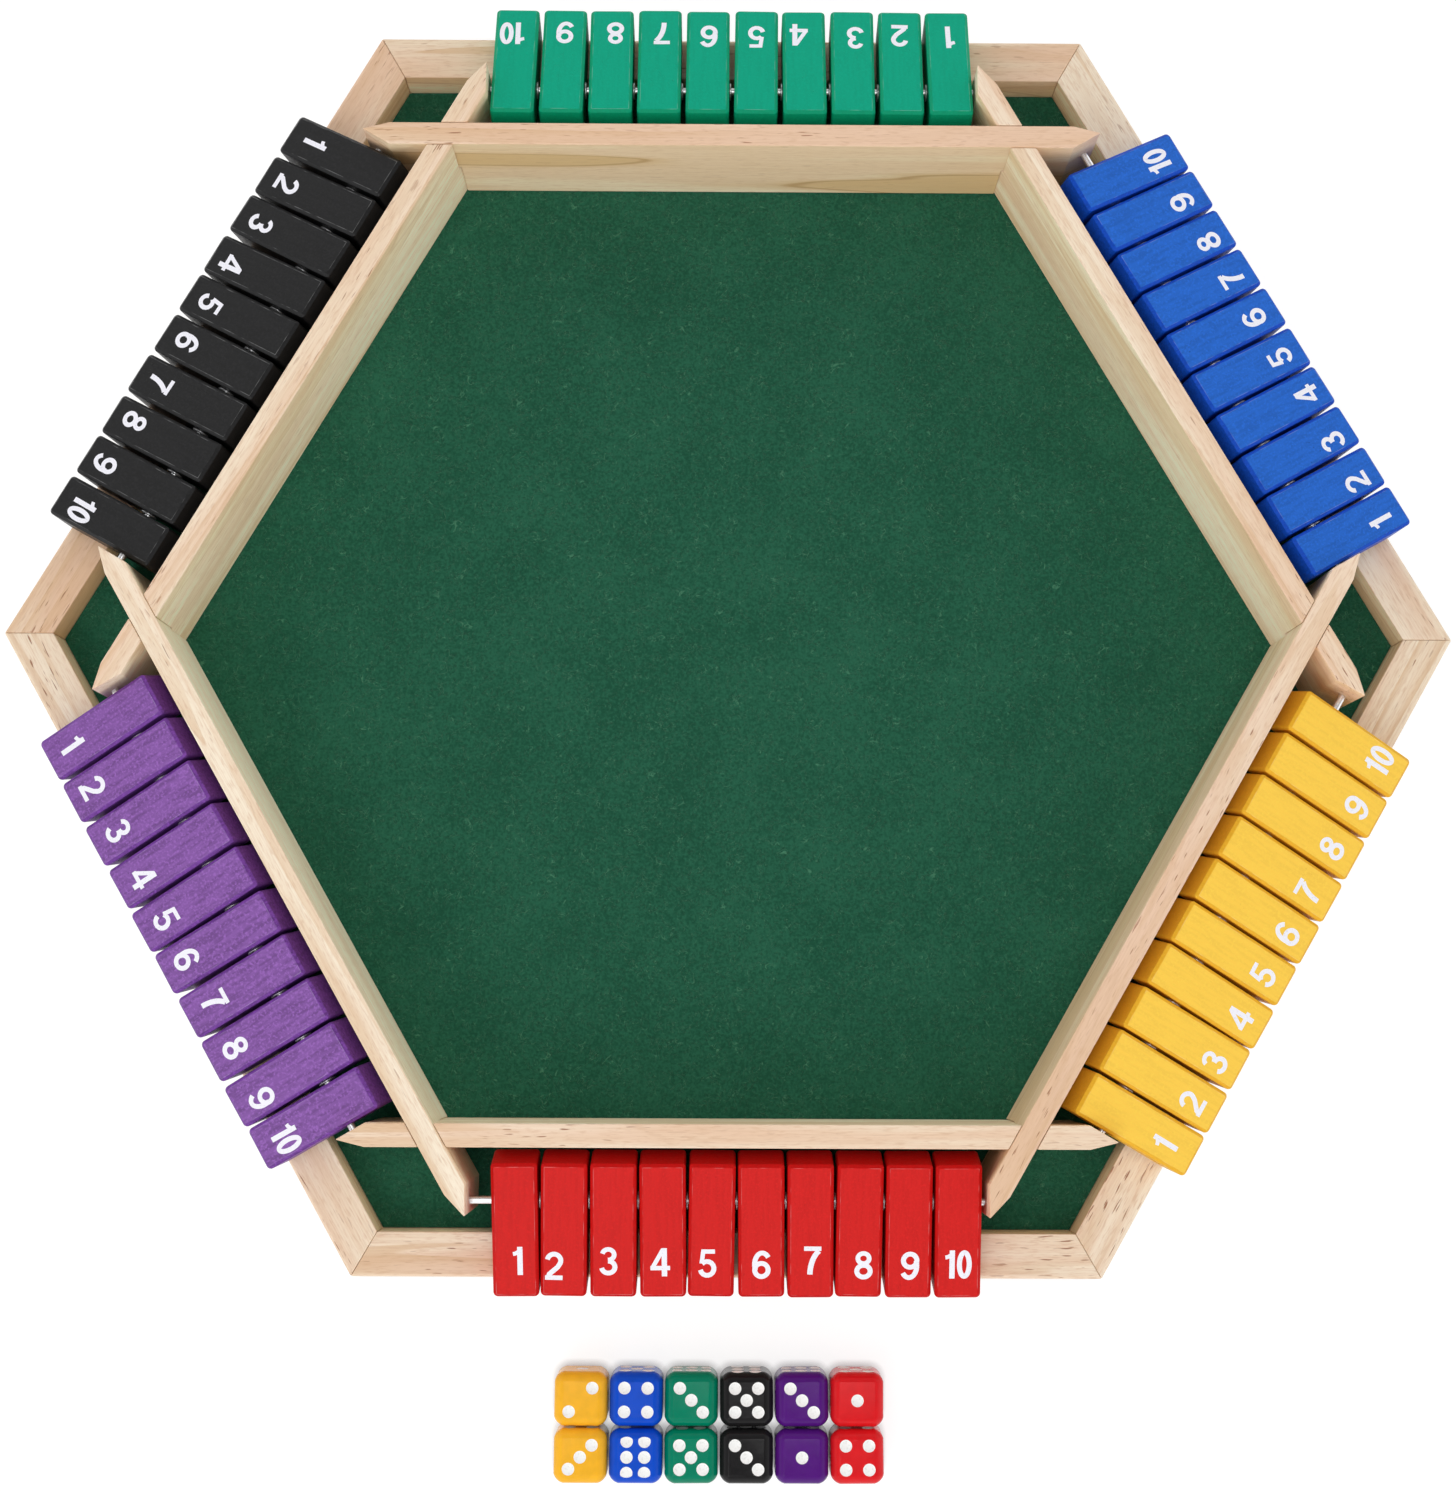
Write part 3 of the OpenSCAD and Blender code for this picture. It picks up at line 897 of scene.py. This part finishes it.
def rod_ends(back, at):
    """Where the rod at a place in its side's frame begins and ends."""
    points = [back @ v.co for v in frame["nodes"][STEEL_NODE].data.vertices]
    along = [p.y for p in points if math.hypot(p.x - at.x, p.z - at.z) < ROD_NEAR]
    return min(along), max(along)


def washer_at(k, a, b, width):
    """Where the washer between the flaps at a and b on side k lies, close to one of them."""
    room = (abs(b - a) - width - WASHER_THICK) / 2 - WASHER_PLAY
    return (a + b) / 2 + math.copysign(room, WASHER_WAYS[k] or a + b)


def add_steel(flaps, width, steel, plating):
    """The six rods, and a washer in each gap between two flaps."""
    rods, washers = bmesh.new(), bmesh.new()
    for bm in (rods, washers):
        bm.verts.layers.float_vector.new("grain")
    for k in range(6):
        side = side_matrix(k)
        back = side.inverted()
        row = sorted((f for f in flaps if f[0] == k), key=lambda f: f[1])
        row = [back @ place.translation for _, _, place in row]
        axis = side @ Matrix.Translation((row[0].x, 0, row[0].z))
        lathe(rods, rod_rings(*rod_ends(back, row[0])), False, axis, shift(f"rod{k}"))
        for a, b in zip(row, row[1:]):
            place = axis @ Matrix.Translation((0, washer_at(k, a.y, b.y, width), 0))
            lathe(washers, washer_rings(), True, place, shift(f"washer{k}{a.y}"))
    for name, bm, material in (("rods", rods, steel), ("washers", washers, plating)):
        dress(make_object(name, bm, [material]), "board", STEEL_NODE)


# ---- Dice ----

# Where the pips of each face lie, as fractions of the die's half width
CORNERS = [(x, y) for x in (-PIP_FAR, PIP_FAR) for y in (-PIP_FAR, PIP_FAR)]
PIPS = {
    1: [(0, 0)],
    2: [(-PIP_FAR, -PIP_FAR), (PIP_FAR, PIP_FAR)],
    3: [(-PIP_FAR, -PIP_FAR), (0, 0), (PIP_FAR, PIP_FAR)],
    4: CORNERS,
    5: [*CORNERS, (0, 0)],
    6: [(x, y) for x in (-SIX_ACROSS, SIX_ACROSS) for y in (-SIX_ALONG, 0, SIX_ALONG)],
}
# Turn that brings each face of a die to the top
FACE_UP = {1: (0, 0), 2: (-90, 0), 3: (0, -90), 4: (0, 90), 5: (90, 0), 6: (180, 0)}
# Each row's upper faces and quarter turns, from the left, with the front row first
DICE_ROWS = (
    ((3, 0), (6, 0), (5, 0), (3, 1), (1, 0), (4, 0)),
    ((2, 0), (4, 0), (3, 1), (5, 0), (3, 1), (1, 0)),
)


def face_turn(face):
    """Turns a die so that the face is on top."""
    x, y = FACE_UP[face]
    return Matrix.Rotation(math.radians(y), 4, "Y") @ Matrix.Rotation(math.radians(x), 4, "X")


def die_body(side):
    """A cube with round edges, whose corners are drawn in a little more."""
    bm = bmesh.new()
    bmesh.ops.create_cube(bm, size=side)
    bmesh.ops.bevel(bm, geom=bm.edges[:], offset=DIE_ROUND, segments=DIE_STEPS, profile=0.5,
                    affect="EDGES", clamp_overlap=True)
    for v in bm.verts:
        reach = v.co.length
        if reach > DIE_REACH:
            v.co *= (DIE_REACH + (reach - DIE_REACH) * DIE_KEPT) / reach
    return bm


def pip_rings():
    """The tool that cuts a pip, as (radius, height above the face): a round bowl and its rim."""
    ball = (PIP_RADIUS ** 2 + PIP_DEPTH ** 2) / (2 * PIP_DEPTH)
    reach = math.asin(PIP_RADIUS / ball)
    turns = [reach * i / PIP_STEPS for i in range(1, PIP_STEPS + 1)]
    bowl = [(ball * math.sin(a), ball * (1 - math.cos(a)) - PIP_DEPTH - PIP_LIP) for a in turns]
    rim = PIP_RADIUS + PIP_LIP
    return [*bowl, (rim, 0), (rim, PIP_OVER)]


def pip_cutter(side):
    """What the pips take from all six faces of a die."""
    bm = bmesh.new()
    for face, pips in PIPS.items():
        turn = face_turn(face).inverted()
        for x, y in pips:
            centre = Vector((x, y, 1)) * side / 2
            loft(bm, [
                [turn @ (centre + Vector((px, pz, z))) for px, _, pz in circle(radius, 0)]
                for radius, z in pip_rings()
            ])
    return bm


def die_template(side):
    """A die with a dimple for each pip, and with the second material deep in the dimples."""
    mesh = boolean("DIFFERENCE", die_body(side), pip_cutter(side))
    for face in mesh.polygons:
        if max(abs(c) for c in face.center) > side / 2 - PIP_LIP:
            face.material_index = 0
    return mesh


def add_die(name, template, turn, centre, materials):
    """One die, with its own stretch of the procedural texture."""
    bm = bmesh.new()
    bm.from_mesh(template)
    offset = shift(name)
    grain = bm.verts.layers.float_vector.new("grain")
    for v in bm.verts:
        v[grain] = v.co + offset
        v.co = turn @ v.co + centre
    dress(make_object(name, bm, materials), "dice", "dice")


def add_dice(white):
    """Two rows of six dice. The two dice of a column have one colour."""
    low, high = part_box("dice")
    side = high.z - low.z
    pitch = (high.x - low.x - side) / (len(DIE_COLUMNS) - 1)
    template = die_template(side - DIE_SMALLER)
    plastics = {c: dice_material(f"dice_{c}", DIE_PAINTS[c]) for c in DIE_COLUMNS}
    for row, faces in enumerate(DICE_ROWS):
        for column, (face, turns) in enumerate(faces):
            colour = DIE_COLUMNS[column]
            name = f"die_{colour}_{('front', 'back')[row]}"
            yaw = random.Random(name).uniform(-DIE_YAW, DIE_YAW)
            centre = Vector((low.x + side / 2 + column * pitch, low.y + side / 2 + row * pitch,
                             low.z + (side - DIE_SMALLER) / 2))
            turn = Matrix.Rotation(math.radians(90 * turns) + yaw, 4, "Z") @ face_turn(face)
            add_die(name, template, turn, centre, [plastics[colour], white])


# ---- Build ----

bpy.context.scene.view_settings.view_transform = "Standard"
add_camera()
add_world()
for name, lamp in LAMPS.items():
    add_lamp(name, *lamp)
add_floor()

wood = wood_material()
add_sides("rails", "frame_rails", RAIL_EASE, RAIL_TINTS, RAIL_HEARTS, wood)
add_sides("walls", "inner_walls", WALL_EASE, WALL_TINTS, WALL_HEARTS, wood)
add_felt(felt_material())
board = frame["nodes"]["base_board"].data
board.materials.clear()
board.materials.append(board_material())

hinges = [j for j in frame["joints"] if j["child"] != "dice"]
# The first hinge carries one flap, so its box is a flap's
_, flap_low, flap_high = hinge_frame(hinges[0])
flap_width = flap_high[1] - flap_low[1]
template = flap_template(flap_low[0], flap_high[0], flap_width, flap_high[2])
numbers = {number: number_mesh(number) for number in range(1, 11)}
white = number_material()
paints = {c: paint_material(f"paint_{c}", *PAINTS[c]) for c in COLOURS}
for hinge in hinges:
    paint = paints[COLOURS[flap_side(hinge["child"])[0]]]
    add_flap(hinge, flap_width, template, numbers, paint, white)
flaps = [(flap_side(j["child"])[0], number, place)
         for j in hinges for number, place, *_ in flap_frames(j, flap_width)]
plating = steel_material("plating", PLATING_METALLIC)
add_steel(flaps, flap_width, steel_material("steel", 1), plating)
add_dice(pip_material())
